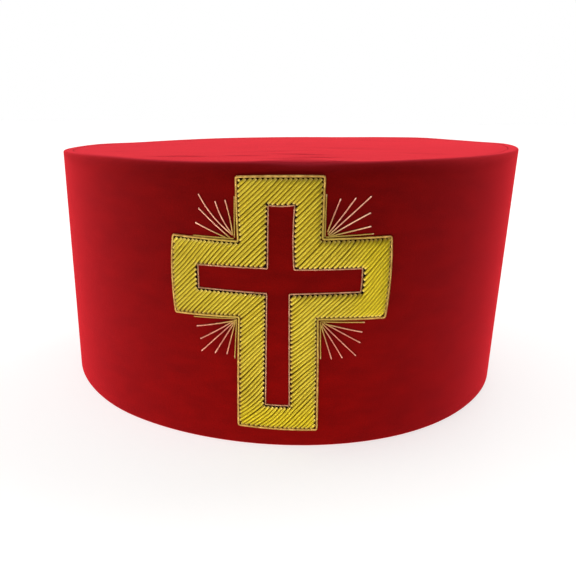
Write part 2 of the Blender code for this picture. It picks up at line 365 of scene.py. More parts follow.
# The velvet rolls over the edge sharply at the sides and back, softly at the front, and most softly where
# thumbs have taken hold of it
edgeRoll = {
    "side": (0.4 * mm, 0.4 * mm),  # how far the roll reaches across the top, and down
    "front": (3.6 * mm, 5.6 * mm),
    "fade": (0.28, 0.5),  # the cosine of the turn where the front's roll starts, and how much on it is full
    "thumb": 6.0 * mm,  # how much further across it reaches there
    "thumbDeg": (4.0, 7.0),  # where that is, and how wide
}


def rollSizes(turn):
    start, length = edgeRoll["fade"]
    front = smooth((np.cos(turn) - start) / length)
    across, down = [side + (ahead - side) * front for side, ahead in zip(edgeRoll["side"], edgeRoll["front"])]
    place, reach = (math.radians(degrees) for degrees in edgeRoll["thumbDeg"])
    away = np.angle(np.exp(1j * (turn - place))) / reach
    return across + edgeRoll["thumb"] * np.exp(-(away**2)), down


def edgeDrop(inset, turn):  # how far the rolled velvet lies below the flat top
    across, down = rollSizes(turn)
    left = 1 - np.clip(inset / across, 0, 1)
    return down * (1 - np.sqrt(1 - left**2))


def wallProfile(turn):  # inset and height of each ring, for every column
    shape = wallPiece
    across, down = rollSizes(turn)
    reach = np.minimum(across, shape["seamInset"] - shape["seamFlat"])
    hem, thick = shape["hemRound"], drum["wallThick"]
    inset, height = [], []

    def ring(inwards, z):
        inset.append(inwards + 0 * turn)
        height.append(z + 0 * turn)

    for angle in np.linspace(-90, 0, shape["arcRows"] + 1):
        a = math.radians(angle)
        ring(hem - hem * math.cos(a), hem + hem * math.sin(a))
    for share in np.linspace(0, 1, shape["rows"] + 1)[1:-1]:
        ring(0.0, hem + (crownHeight - down - hem) * share)
    for angle in np.linspace(0, 90, shape["arcRows"] + 1):
        at = reach * (1 - math.cos(math.radians(angle)))
        ring(at, crownHeight - edgeDrop(at, turn))
    for share in shape["seamShares"]:
        at = reach + (shape["seamInset"] - reach) * share
        ring(at, crownHeight - edgeDrop(at, turn) - shape["seamDip"] * share**4)
    ring(shape["seamInset"], crownHeight - shape["seamDepth"])
    lining = len(inset)
    ring(thick, crownHeight - shape["seamDepth"] - shape["liningDrop"])
    for share in np.linspace(1, 0, shape["liningRows"] + 1)[1:-1]:
        ring(thick, hem + (crownHeight - shape["liningTop"] - hem) * share)
    for angle in np.linspace(180, 270, shape["hemRows"] + 1)[:-1]:
        a = math.radians(angle)
        ring(thick - hem - hem * math.cos(a), hem + hem * math.sin(a))
    return np.array(inset), np.array(height), lining


def markFanShade(piece, points):  # painted shade: how dark the velvet is painted around the ray fans
    spots = np.array(velvet["fanShadePlaces"]) * mm
    places = onWall(spots[:, 0], spots[:, 1], 0.0)
    away = np.linalg.norm(points[:, None] - places, axis=2) / velvet["fanShadeReach"]
    fanShade = np.exp(-np.min(away, axis=1) ** 2)
    piece.data.attributes.new("fanShade", "FLOAT", "POINT").data.foreach_set("value", fanShade)


def makeWall():
    columns = drum["columns"]
    turn = np.arange(columns) * 2 * math.pi / columns
    inset, height, lining = wallProfile(turn)
    nearEdge = smooth((height - crownHeight + wallPiece["waveReach"]) / wallPiece["waveReach"])
    spread = roundPlan(footLine, turn) * smooth(1 - height / drum["footReach"])
    points = drumPoints(turn, height, inset - spread)
    points[..., 2] += roundPlan(edgeLine, turn) * nearEdge
    rows = len(height)
    faces = ringFaces(rows, columns, closed=True)
    folded = rows - wallPiece["foldedRings"]
    slots = [1 if lining <= i < folded else 0 for i in range(rows) for _ in range(columns)]
    points = points.reshape(-1, 3)
    piece = meshObject("crownSide", points, faces, [redVelvet, cottonInside], slots)
    addMap(piece, np.tile(turn * sum(middleAxes) / 2, rows), height.ravel())
    markFanShade(piece, points)
    return piece


hand(makeWall(), "side_velvet", "crown_side")

# Top: velvet over a flat card, pulled down into the seam, its slack showing as low swells and creases
topPiece = {
    "gap": 0.03 * mm,  # between the two sides of the seam
    "turnDown": 0.9 * mm,
    "turnShare": 0.6,  # how much of the top's swells the turned-down edge follows
    "thick": 2.5 * mm,
    "bevel": 0.3 * mm,
    "brow": 1.4 * mm,  # the soft turn beside the seam
    "browShares": (0.08, 0.2, 0.4, 0.7, 1.0),
    "calm": 6 * mm,  # how far from the seam the swells reach their height
    "liftFade": 6,  # how fast the edge's unevenness dies out inwards
    "swell": 0.22 * mm,
    "swellFade": 0.6,
    "rings": 64,
    "ringEase": 0.9,  # under 1 the rings draw a little together towards the middle
}
# Each swell: how fast it runs along x and along y (per metre), and its phase
swells = ((31, 47, 0.4), (-58, 23, 1.9), (74, -66, 4.0), (-40, -95, 2.7))
creaseShape = {"shoulder": 2.2, "across": 1.6, "along": 2.5}
# Each crease: place on the top, length, width (mm), the way it runs (degrees), depth (mm)
creases = (
    (-35, -74, 13, 3.5, 4, 0.80),
    (-6, -45, 22, 9, 24, 0.30),
    (-14, -70, 12, 4, 10, 0.40),
    (6, -64, 14, 4.5, -20, 0.55),
    (10, -80, 12, 4, 12, 0.50),
    (1, -90, 12, 4, -8, 0.45),
    (24, -30, 26, 10, -30, 0.25),
    (-62, -40, 20, 8, 50, 0.20),
    (48, -62, 18, 6, -35, 0.18),
    (-20, 30, 34, 12, 15, 0.20),
    (40, 42, 30, 10, -50, 0.20),
    (-50, 60, 24, 9, 35, 0.20),
)


def topSurface(x, y):  # height over the flat top
    swell = 0
    for k, (alongX, alongY, phase) in enumerate(swells):
        swell = swell + np.sin(alongX * x + alongY * y + phase) / (1 + topPiece["swellFade"] * k)
    rise = topPiece["swell"] * swell / 2
    for atX, atY, length, width, turnDeg, depth in creases:
        turn = math.radians(turnDeg)
        dx, dy = x - atX * mm, y - atY * mm
        along = (dx * math.cos(turn) + dy * math.sin(turn)) / (length * mm)
        across = (dy * math.cos(turn) - dx * math.sin(turn)) / (width * mm)
        fall = np.exp(-creaseShape["across"] * across**2 - creaseShape["along"] * along**2)
        fold = (1 - creaseShape["shoulder"] * across**2) * fall
        rise = rise - depth * mm * fold
    return rise


def makeTop():
    columns, shape = drum["columns"], topPiece
    turn = np.arange(columns) * 2 * math.pi / columns
    edge = wallPiece["seamInset"] + shape["gap"]
    dip = wallPiece["seamDip"]
    underside = crownHeight - shape["thick"]
    reach = halfAxes(crownHeight, edge)[0]
    bevel, brow = shape["bevel"], shape["brow"]
    profile = [(edge + reach / 2, underside, 0), (edge + bevel, underside, 0), (edge, underside + bevel, 0)]
    profile += [(edge, crownHeight - shape["turnDown"], shape["turnShare"]), (edge, crownHeight - dip, 1)]
    for share in shape["browShares"]:
        profile.append((edge + brow * share, crownHeight - dip * (1 - share) ** 3, 1))
    for k in range(1, shape["rings"]):
        share = (k / shape["rings"]) ** shape["ringEase"]
        profile.append((edge + brow + (reach - brow) * share, crownHeight, 1))
    insets, heights, onTop = (np.array(column)[:, None] for column in zip(*profile))
    points = drumPoints(turn, heights + 0 * turn, insets)
    inward = 1 - (insets - edge) / reach
    lift = roundPlan(edgeLine, turn) * np.clip(inward, 0, 1) ** shape["liftFade"]
    points[..., 2] += (lift - edgeDrop(insets, turn)) * (onTop > 0)
    calm = smooth((insets - edge) / shape["calm"])
    points[..., 2] += onTop * topSurface(points[..., 0], points[..., 1]) * calm
    rows = len(profile)
    faces = ringFaces(rows, columns)
    flat = points.reshape(-1, 3)
    middleLow, middleHigh = len(flat), len(flat) + 1
    crown = crownHeight + float(topSurface(0.0, 0.0))
    flat = np.concatenate([flat, [(0, 0, underside), (0, 0, crown)]])
    faces += [(j, middleLow, (j + 1) % columns) for j in range(columns)]
    last = (rows - 1) * columns
    faces += [(last + j, last + (j + 1) % columns, middleHigh) for j in range(columns)]
    slots = [1] * columns + [0] * (rows - 2) * columns + [1] * columns + [0] * columns
    piece = meshObject("crownTop", flat, faces, [redVelvet, cottonInside], slots)
    addMap(piece, flat[:, 0], flat[:, 1])
    return piece


hand(makeTop(), "top_velvet", "crown_top")

# Cross: the outline is the middle line of the outer edging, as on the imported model, and each corner has
# drifted a little in the sewing. The drift is in mm, clockwise from the head's left corner.
cross = {
    "barWidth": 25.1 * mm,
    "armMiddle": 55.45 * mm,
    "armReach": 34.3 * mm,
    "foot": 6.0 * mm,
    "head": 86.8 * mm,
    "bandWidth": 8.6 * mm,
    "sideSteps": 14,  # points along each of the twelve sides
}
outerDrift = (
    (-1.0, -0.2), (-0.3, -0.2), (-0.2, 0.2), (-0.15, 0.15), (-0.45, -0.4), (-0.7, 0.4), (0.2, 0.05),
    (0.3, 0.7), (0.2, 0.65), (0.4, 0.25), (0.0, 0.35), (-0.2, -0.6),
)
innerDrift = (
    (0.0, 0.2), (-0.1, 0.25), (0.25, -0.45), (-0.4, -0.6), (-0.55, -0.15), (-1.0, -0.25), (-0.05, -0.3),
    (0.25, -0.1), (0.0, -0.1), (0.05, 0.55), (-0.15, 0.1), (0.1, -0.1),
)
# How far the side that starts at each corner bows out of the cross (mm)
outerBow = (0.2, 0.0, 0.0, 0.7, 0.0, 0.2, 0.1, 0.2, 0.0, 0.8, 0.0, 0.1)
innerBow = (-0.3, -0.4, 0.0, 0.1, -0.15, 0.0, 0.1, 0.0, -0.1, 0.0, 0.05, 0.0)


def crossCorners(inset, drift):
    half, reach = cross["barWidth"] / 2 - inset, cross["armReach"] - inset
    low, high = (cross["armMiddle"] + s * (cross["barWidth"] / 2 - inset) for s in (-1, 1))
    head, foot = cross["head"] - inset, cross["foot"] + inset
    right = [(half, head), (half, high), (reach, high), (reach, low), (half, low), (half, foot)]
    corners = [(-half, head)] + right + [(-run, z) for run, z in reversed(right[1:])]
    return np.array(corners) + np.array(drift) * mm


def crossOutline(inset, drift, bow):  # the drifted outline as a closed line of points
    corners, steps = crossCorners(inset, drift), cross["sideSteps"]
    line = []
    for i, start in enumerate(corners):
        end = corners[(i + 1) % len(corners)]
        side = end - start
        outward = np.array((-side[1], side[0])) / np.linalg.norm(side)
        for k in range(steps):
            share = k / steps
            line.append(start + side * share + outward * bow[i] * mm * 4 * share * (1 - share))
    return np.array(line)


outerLine = crossOutline(0.0, outerDrift, outerBow)
innerLine = crossOutline(cross["bandWidth"], innerDrift, innerBow)


def lineDistance(points, line):  # distance to a closed line, positive inside it
    best = np.full(len(points), np.inf)
    inside = np.zeros(len(points), bool)
    for a, b in zip(line, np.roll(line, -1, axis=0)):
        side = b - a
        share = np.clip(((points - a) @ side) / (side @ side), 0, 1)
        best = np.minimum(best, np.linalg.norm(points - a - share[:, None] * side, axis=1))
        crosses = (a[1] > points[:, 1]) != (b[1] > points[:, 1])
        with np.errstate(divide="ignore", invalid="ignore"):
            at = a[0] + (points[:, 1] - a[1]) * side[0] / side[1]
        inside ^= crosses & (points[:, 0] < at)
    return np.where(inside, best, -best)


# Gold work: rods of smooth purl, laid side by side over a padded frame
bullion = {
    "spacing": 1.065 * mm,
    "rodThick": 1.17 * mm,
    "slantDeg": 46.5,
    "outerTip": 0.75 * mm,  # from the outer edging's middle line to the rods' tips
    "innerTip": 0.65 * mm,
    "padHeight": 1.6 * mm,  # top of the rods over the velvet
    "padEdgeHeight": 0.8 * mm,
    "padRound": 2.2 * mm,
    "tipRound": 0.75 * mm,
    "step": 0.42 * mm,
    "reach": 72 * mm,
    "trace": 0.1 * mm,  # how finely each rod's ends are found
    "shortest": 0.25 * mm,
    "settle": 0.05 * mm,
    "jitter": 0.06,  # how far off its place a rod may lie, as a share of the spacing
    "passes": 4,
    "sink": 0.7,  # a rod's middle lies at least this share of its half thickness over the velvet
    "tones": (0.375, 0.7),
    "sides": 10,
    "seed": 7,
}
# Where the rods' slant turns off the common one: place, degrees, reach (mm)
slantTurns = (
    (9, 36, -6.5, 18), (-25, 64, 4.0, 12), (-8.3, 80, -2.0, 9), (-8.3, 26, 1.5, 12), (21, 47.5, -8.0, 9),
    (-6, 9.5, -8.5, 8),
)


def slantShift(along, across):
    lean = math.radians(bullion["slantDeg"])
    run = along * math.cos(lean) + across * math.sin(lean)
    rise = along * math.sin(lean) - across * math.cos(lean)
    shift = 0
    for atRun, atZ, turnDeg, reach in slantTurns:
        dRun, dRise = run - atRun * mm, rise - atZ * mm + cross["armMiddle"]
        near = np.exp(-(dRun**2 + dRise**2) / (reach * mm) ** 2)
        ahead = dRun * math.cos(lean) + dRise * math.sin(lean)
        shift = shift + math.tan(math.radians(turnDeg)) * ahead * near
    return shift


def rodLines():  # every rod as a line of (run, height) points, and how deep in the band each point lies
    rng = np.random.default_rng(bullion["seed"])
    lean = math.radians(bullion["slantDeg"])
    reach, trace = bullion["reach"], bullion["trace"]
    along = np.arange(-reach, reach, trace)
    rods = []
    for k in range(int(-reach / bullion["spacing"]), int(reach / bullion["spacing"]) + 1):
        offset = (k + rng.uniform(-1, 1) * bullion["jitter"]) * bullion["spacing"]
        across = np.full_like(along, offset)
        for _ in range(bullion["passes"]):
            across = offset - slantShift(along, across)
        run = along * math.cos(lean) + across * math.sin(lean)
        z = cross["armMiddle"] + along * math.sin(lean) - across * math.cos(lean)
        points = np.stack([run, z], axis=1)
        deep = np.minimum(
            lineDistance(points, outerLine) - bullion["outerTip"],
            -lineDistance(points, innerLine) - bullion["innerTip"],
        )
        marks = np.flatnonzero(np.diff(np.concatenate([[0], deep > 0, [0]])))
        for start, end in zip(marks[::2], marks[1::2]):
            if (end - start) * trace > bullion["shortest"]:
                rods.append((points[start:end], deep[start:end]))
    return rods


def padTop(deep):  # height of the rods over the velvet, by how deep in the band they lie
    edge = bullion["padEdgeHeight"]
    share = np.clip(deep / bullion["padRound"], 0, 1)
    return edge + (bullion["padHeight"] - edge) * np.sqrt(1 - (1 - share) ** 2)


# Geometry Nodes: lays a cord, or a bundle of twisted plies, along every line of a mesh of edges
knotSize = {"back": 0.35 * mm, "reach": 0.32 * mm}  # a knot's middle from the cord's end, and its half length
cordInputs = (
    ("Plies", "NodeSocketInt", 1),
    ("Ply radius", "NodeSocketFloat", 0.3 * mm),
    ("Twist radius", "NodeSocketFloat", 0.0),
    ("Lay length", "NodeSocketFloat", 2 * mm),
    ("Step", "NodeSocketFloat", 0.2 * mm),
    ("Sides", "NodeSocketInt", 8),
    ("Tip length", "NodeSocketFloat", 0.0),
    ("Material", "NodeSocketMaterial", None),
)
nearNothing = 1e-6
tipLeast = 0.25  # a rounded tip narrows to no less than this share
# The tree's sums, one to a row: what it gives, the operation, and its terms
cordSums = (
    ("turnsRaw", "DIVIDE", "whole", "Lay length"),
    ("turnsWhole", "ROUND", "turnsRaw"),
    ("turns", "MAXIMUM", "turnsWhole", 1.0),
    ("plyShare", "DIVIDE", "ply", "Plies"),
    ("round", "MULTIPLY_ADD", "share", "turns", "plyShare"),
    ("phase", "MULTIPLY", "round", 2 * math.pi),
    ("cosine", "COSINE", "phase"),
    ("outSize", "MULTIPLY", "cosine", "Twist radius"),
    ("sine", "SINE", "phase"),
    ("sideSize", "MULTIPLY", "sine", "Twist radius"),
    ("toEnd", "SUBTRACT", "whole", "length"),
    ("fromEnd", "MINIMUM", "length", "toEnd"),
    ("tip", "MAXIMUM", "Tip length", nearNothing),
    ("tipRaw", "DIVIDE", "fromEnd", "tip"),
    ("tipShare", "MINIMUM", "tipRaw", 1.0),
    ("spare", "SUBTRACT", 2.0, "tipShare"),
    ("rest", "MULTIPLY", "tipShare", "spare"),
    ("rounded", "SQRT", "rest"),
    ("blunt", "MAXIMUM", "rounded", tipLeast),
    ("hasTip", "GREATER_THAN", "Tip length", nearNothing),
    ("plain", "SUBTRACT", 1.0, "hasTip"),
    ("taper", "MULTIPLY_ADD", "hasTip", "blunt", "plain"),
    ("pastKnot", "SUBTRACT", "toEnd", knotSize["back"]),
    ("knotSquared", "MULTIPLY", "pastKnot", "pastKnot"),
    ("knotFall", "MULTIPLY", "knotSquared", -1 / knotSize["reach"] ** 2),
    ("knotBell", "EXPONENT", "knotFall"),
    ("swell", "MULTIPLY", "knot", "knotBell"),
    ("radius", "MULTIPLY_ADD", "taper", "swell", "taper"),
)


def cordTree():
    tree = bpy.data.node_groups.new("layCord", "GeometryNodeTree")
    tree.interface.new_socket("Line", in_out="INPUT", socket_type="NodeSocketGeometry")
    for name, kind, value in cordInputs:
        socket = tree.interface.new_socket(name, in_out="INPUT", socket_type=kind)
        if value is not None:
            socket.default_value = value
    tree.interface.new_socket("Cord", in_out="OUTPUT", socket_type="NodeSocketGeometry")
    given = addNode(tree, "NodeGroupInput").outputs
    flow = addNode(tree, "GeometryNodeMeshToCurve", {0: given["Line"]}).outputs[0]
    even = {0: flow, "Length": given["Step"]}
    flow = addNode(tree, "GeometryNodeResampleCurve", even, mode="LENGTH").outputs[0]
    each = {0: flow, "Amount": given["Plies"]}
    flow, copy = addNode(tree, "GeometryNodeDuplicateElements", each, domain="SPLINE").outputs
    along = addNode(tree, "GeometryNodeSplineParameter").outputs
    found = {name: given[name] for name, *_ in cordInputs}
    found |= {"share": along["Factor"], "length": along["Length"]}
    found["whole"] = addNode(tree, "GeometryNodeSplineLength").outputs["Length"]
    for name, kind in (("ply", "FLOAT"), ("knot", "FLOAT"), ("outward", "FLOAT_VECTOR")):
        node = addNode(tree, "GeometryNodeInputNamedAttribute", {"Name": name}, data_type=kind)
        found[name] = node.outputs["Attribute"]
    for result, operation, *terms in cordSums:
        inputs = {i: found[term] if isinstance(term, str) else term for i, term in enumerate(terms)}
        found[result] = addNode(tree, "ShaderNodeMath", inputs, operation=operation).outputs[0]

    outward = found["outward"]
    both = {0: addNode(tree, "GeometryNodeInputTangent").outputs[0], 1: outward}
    sideways = addNode(tree, "ShaderNodeVectorMath", both, operation="CROSS_PRODUCT").outputs[0]
    parts = {}
    for i, (direction, size) in enumerate(((outward, "outSize"), (sideways, "sideSize"))):
        scaled = {0: direction, "Scale": found[size]}
        parts[i] = addNode(tree, "ShaderNodeVectorMath", scaled, operation="SCALE").outputs[0]
    offset = addNode(tree, "ShaderNodeVectorMath", parts, operation="ADD").outputs[0]
    size = {"Resolution": given["Sides"], "Radius": given["Ply radius"]}
    ring = addNode(tree, "GeometryNodeCurvePrimitiveCircle", size, mode="RADIUS").outputs[0]
    around = addNode(tree, "GeometryNodeSplineParameter").outputs["Factor"]
    flows = {"cord": flow, "ring": ring}
    records = (
        ("cord", "ply", copy, "CURVE"),
        ("cord", "along", found["length"], "POINT"),
        ("cord", "fromEnd", found["fromEnd"], "POINT"),
        ("cord", "swell", found["swell"], "POINT"),
        ("ring", "around", around, "POINT"),
    )
    for which, label, source, domain in records:
        record = {0: flows[which], "Name": label, "Value": source}
        stored = addNode(tree, "GeometryNodeStoreNamedAttribute", record, data_type="FLOAT", domain=domain)
        flows[which] = stored.outputs[0]
    flow = flows["cord"]
    steps = (
        ("GeometryNodeSetCurveRadius", {"Radius": found["radius"]}),
        ("GeometryNodeSetPosition", {"Offset": offset}),
        ("GeometryNodeCurveToMesh", {"Profile Curve": flows["ring"], "Fill Caps": True}),
        ("GeometryNodeSetShadeSmooth", {}),
        ("GeometryNodeRealizeInstances", {}),
        ("GeometryNodeSetMaterial", {"Material": given["Material"]}),
    )
    for kind, inputs in steps:
        flow = addNode(tree, kind, {0: flow, **inputs}).outputs[0]
    addNode(tree, "NodeGroupOutput", {0: flow})
    return tree


layCord = cordTree()


def cordMesh(name, lines, material, sizes, closed=False, **marks):  # each mark: a number or array per line
    points = np.concatenate(lines)
    ends = np.cumsum([0] + [len(line) for line in lines]).tolist()
    edges = [(k, k + 1) for first, end in zip(ends, ends[1:]) for k in range(first, end - 1)]
    if closed:
        edges.append((ends[-1] - 1, 0))
    guide = bpy.data.meshes.new(name + "Guide")
    guide.from_pydata(points.tolist(), edges, [])
    outward = guide.attributes.new("outward", "FLOAT_VECTOR", "POINT")
    outward.data.foreach_set("vector", outwards(points).ravel())
    for label, values in marks.items():
        numbers = np.concatenate([value + np.zeros(len(line)) for value, line in zip(values, lines)])
        guide.attributes.new(label, "FLOAT", "POINT").data.foreach_set("value", numbers)
    made = placed(name + "Guide", guide)
    modifier = made.modifiers.new("layCord", "NODES")
    modifier.node_group = layCord
    sockets = {item.name: item.identifier for item in layCord.interface.items_tree if item.in_out == "INPUT"}
    for label, value in {**sizes, "Material": material}.items():
        modifier[sockets[label]] = value
    graph = bpy.context.evaluated_depsgraph_get()
    mesh = bpy.data.meshes.new_from_object(made.evaluated_get(graph), depsgraph=graph)
    mesh.name = name
    bpy.data.objects.remove(made)
    return placed(name, mesh)


# Gilt metal wound on a core, or coiled on itself: bright, and broken by the winding
def giltWire(name, look):
    made, tree = newMaterial(name, Metallic=look["metallic"], Roughness=look["rough"])
    place = addNode(tree, "ShaderNodeTexCoord").outputs["Object"]
    split = addNode(tree, "ShaderNodeSeparateXYZ", {"Vector": place}).outputs
    told = {"X": split["X"], "Z": split["Z"]}
    for label in ("along", "around", "tone", "fromEnd", "aged", "swell"):
        told[label] = addNode(tree, "ShaderNodeAttribute", attribute_name=label).outputs["Fac"]
    coils = {0: told["along"], 1: 1 / look["pitch"], 2: told["around"] if look["coiled"] else 0.0}
    turns = addNode(tree, "ShaderNodeMath", coils, operation="MULTIPLY_ADD").outputs[0]
    phase = addNode(tree, "ShaderNodeMath", {0: turns, 1: 2 * math.pi}, operation="MULTIPLY").outputs[0]
    winding = addNode(tree, "ShaderNodeMath", {0: phase}, operation="SINE").outputs[0]
    strength, rise = look["relief"]
    bump = addNode(tree, "ShaderNodeBump", {"Strength": strength, "Distance": rise, "Height": winding})
    size, detail = look["patch"]
    grain = {"Vector": place, "Scale": 1 / size, "Detail": detail}
    worn = addNode(tree, "ShaderNodeTexNoise", grain).outputs["Fac"]
    spread = {0: worn, 1: look["uneven"], 2: -look["uneven"] / 2}
    both = {0: addNode(tree, "ShaderNodeMath", spread, operation="MULTIPLY_ADD").outputs[0], 1: told["tone"]}
    told["share"] = addNode(tree, "ShaderNodeMath", both, operation="ADD", use_clamp=True).outputs[0]
    colour = linear(look["dull"])
    for source, span, tint in (("share", None, "bright"), *look["layers"]):
        share = told[source]
        if span:
            limits = dict(zip(rangeInputs, span), Value=share)
            eased = addNode(tree, "ShaderNodeMapRange", limits, interpolation_type="SMOOTHSTEP")
            share = eased.outputs["Result"]
        layer = {"Factor": share, "A": colour, "B": linear(look[tint])}
        colour = addNode(tree, "ShaderNodeMix", layer, data_type="RGBA").outputs["Result"]
    return surfaced(made, colour, bump)


# Purl: a tight coil of gilt wire. Its turns are too fine to tell apart, so the rod shines as a whole, with a
# soft grain of light across it; the coil is drawn at twice its real pitch.
purl = {
    "metallic": 1.0,
    "rough": 0.4,
    "pitch": 0.30 * mm,
    "coiled": True,
    "relief": (0.5, 0.05 * mm),
    "patch": (5 * mm, 3.0),  # size and detail of the tarnish
    "uneven": 0.5,
    "bright": "b5a337",
    "dull": "988118",
    "litYellow": "b39f20",  # painted light: a lighter yellow painted at the foot and at the right arm's end, for the light that falls more there
    "tip": "dcc070",  # painted highlight: the rods' turned-down ends painted paler, for the light they catch
    "layers": (  # what each follows, from where to where, how strongly at both, and its colour
        # painted light on the gilt: the lighter yellow by place, and the paler ends as painted highlight
        ("Z", (18 * mm, 9 * mm, 0.0, 0.9), "litYellow"),
        ("X", (19 * mm, 28 * mm, 0.0, 0.75), "litYellow"),
        ("fromEnd", (0.0, 0.9 * mm, 0.5, 0.0), "tip"),
    ),
}


def makeRods():
    rng = np.random.default_rng(bullion["seed"] + 1)
    lines, tones = [], []
    half = bullion["rodThick"] / 2
    for points, deep in rodLines():
        settle = rng.uniform(-1, 1) * bullion["settle"]
        rise = np.maximum(padTop(deep) - half + settle, half * bullion["sink"])
        lines.append(onWall(points[:, 0], points[:, 1], rise))
        tones.append(rng.uniform(*bullion["tones"]))
    sizes = {
        "Ply radius": half,
        "Step": bullion["step"],
        "Sides": bullion["sides"],
        "Tip length": bullion["tipRound"],
    }
    piece = cordMesh("bullionRods", lines, giltWire("gilt wire purl", purl), sizes, tone=tones)
    print(len(lines), "rods of purl")
    return piece


hand(makeRods(), "bullion", "cross_bullion")

# Padding: felt under the rods, seen only as the dark teeth between their tips; its near-black colour is
# painted shade
padding = {
    "top": 0.75 * mm,
    "outer": 0.5 * mm,
    "inner": 0.3 * mm,
    "rings": 14,
    "least": 0.05 * mm,  # its top is at least this far over the velvet
    "underside": 0.02 * mm,
    # near-black: painted shade in the teeth between the rods' tips
    "felt": ("0c0502", "160904"),
    "fibre": 0.5 * mm,
    "fibreRise": 0.1 * mm,
}


def shadeDarkFelt():
    made, tree = newMaterial("near-black felt, painted shade", Roughness=0.95, Specular_IOR_Level=0.1)
    place = addNode(tree, "ShaderNodeTexCoord").outputs["Object"]
    grain = {"Vector": place, "Scale": 1 / padding["fibre"], "Detail": 4.0}
    fibre = addNode(tree, "ShaderNodeTexNoise", grain).outputs["Fac"]
    dark, light = map(linear, padding["felt"])
    tone = addNode(tree, "ShaderNodeMix", {"Factor": fibre, "A": dark, "B": light}, data_type="RGBA")
    rise = {"Strength": 0.6, "Distance": padding["fibreRise"], "Height": fibre}
    return surfaced(made, tone.outputs["Result"], addNode(tree, "ShaderNodeBump", rise))


def makePadding():
    count, shape = len(outerLine), padding
    first, last = shape["outer"] / cross["bandWidth"], 1 - shape["inner"] / cross["bandWidth"]
    rows = []
    for i, share in enumerate([*np.linspace(0, 1, shape["rings"]), 1.0, 0.0]):
        at = first + (last - first) * share
        line = outerLine * (1 - at) + innerLine * at
        deep = min(share, 1 - share) * (last - first) * cross["bandWidth"]
        rise = max(padTop(deep) - shape["top"], shape["least"]) if i < shape["rings"] else shape["underside"]
        rows.append(onWall(line[:, 0], line[:, 1], rise))
    points = np.concatenate(rows)
    faces = [tuple(reversed(face)) for face in ringFaces(len(rows), count, closed=True)]
    return meshObject("bullionPadding", points, faces, [shadeDarkFelt()])


hand(makePadding(), "bullion", "cross_bullion")

# Edgings: plied gilt cord sewn down on both sides of the bullion. Thread gilt is softer and redder than wire.
giltThread = {
    "metallic": 0.85,
    "rough": 0.42,
    "pitch": 0.25 * mm,
    "coiled": False,
    "relief": (0.4, 0.03 * mm),
    "patch": (1.6 * mm, 2.0),
    "uneven": 3.3,  # how strongly the strip's wear varies along the cord
    "aged": "a8923c",  # painted shade: the darker olive painted on the cords near the cross's inner corners
    "tone": 0.5,
    "layers": (("aged", None, "aged"),),
    "squeeze": 1.12,  # plies pressed together are this much wider than round ones
    "steps": 11,  # in the length of one lay
    "sides": 8,
    "tip": 0.0,
}
outerCord = giltThread | {
    "thick": 0.78 * mm,
    "plies": 3,
    "lay": 1.5 * mm,
    "cornerRound": 0.5 * mm,
    "bright": "c7a256",
    "dull": "9f793a",
    "agedShare": 0.7,
}
innerCord = giltThread | {
    "thick": 0.5 * mm,
    "plies": 2,
    "lay": 1.1 * mm,
    "cornerRound": 0.25 * mm,
    "bright": "cf9f7c",
    "dull": "a87c58",
    "agedShare": 0.0,
}
rayCord = giltThread | {
    "points": 40,  # along each ray's guide line
    "crossRise": 0.3 * mm,  # every other ray lies this much higher where they cross
    "crossReach": 2 * mm,
    "agedReach": 3.2 * mm,  # how far from the edging the painted olive shade reaches
    "agedStart": 1.25,
    "thick": 0.43 * mm,
    "plies": 2,
    "lay": 1.0 * mm,
    "steps": 9,
    "sides": 7,
    "tip": 0.2 * mm,
    "bright": "ffd4b0",
    "dull": "ce8570",
    "uneven": 1.0,
    "aged": "b29646",
    "knot": "ffdcc8",  # painted highlight: the knots at the rays' ends are painted pale
    "layers": (("aged", None, "aged"), ("swell", None, "knot")),
}
corner = {"reach": 20 * mm, "steps": 6, "bend": 0.5}  # bend: the sine of a turn that counts as a corner


def cordSizes(look):  # plies that fill the cord's thickness, as the cord tree's inputs
    plyRadius = look["thick"] / 2 / (1 + 1 / math.sin(math.pi / look["plies"]))
    return {
        "Plies": look["plies"],
        "Ply radius": plyRadius * look["squeeze"],
        "Twist radius": look["thick"] / 2 - plyRadius,
        "Lay length": look["lay"],
        "Step": look["lay"] / look["steps"],
        "Sides": look["sides"],
        "Tip length": look["tip"],
    }


def roundedLine(line, radius):  # the closed outline with its corners turned by short arcs
    turned = []
    for i, here in enumerate(line):
        back, ahead = line[i - 1] - here, line[(i + 1) % len(line)] - here
        back, ahead = back / np.linalg.norm(back), ahead / np.linalg.norm(ahead)
        if abs(back[0] * ahead[1] - back[1] * ahead[0]) < corner["bend"]:
            turned.append(here)
            continue
        centre = here + (back + ahead) * radius
        for angle in np.linspace(0, math.pi / 2, corner["steps"] + 1):
            turned.append(centre - ahead * radius * math.cos(angle) - back * radius * math.sin(angle))
    return np.array(turned)


def cornerNearness(points):  # 1 at the cross's four inner corners, falling to 0 away from them
    places = outerLine[:: cross["sideSteps"]][2::3]
    away = [np.linalg.norm(points - place, axis=1) for place in places]
    return smooth(1 - np.min(away, axis=0) / corner["reach"])


def makeEdging(name, line, look, material):
    route = roundedLine(line, look["cornerRound"])
    lines = [onWall(route[:, 0], route[:, 1], look["thick"] / 2)]
    # painted shade: darker olive near the cross's inner corners
    aged = [cornerNearness(route) * look["agedShare"]]
    return cordMesh(name, lines, material, cordSizes(look), closed=True, tone=[look["tone"]], aged=aged)


threePly = giltWire("gilt cord, three ply", outerCord)
hand(makeEdging("outerEdging", outerLine, outerCord, threePly), "outer_cord", "outer_edging")
twoPly = giltWire("gilt cord, fine", innerCord)
hand(makeEdging("innerEdging", innerLine, innerCord, twoPly), "inner_cord", "inner_edging")
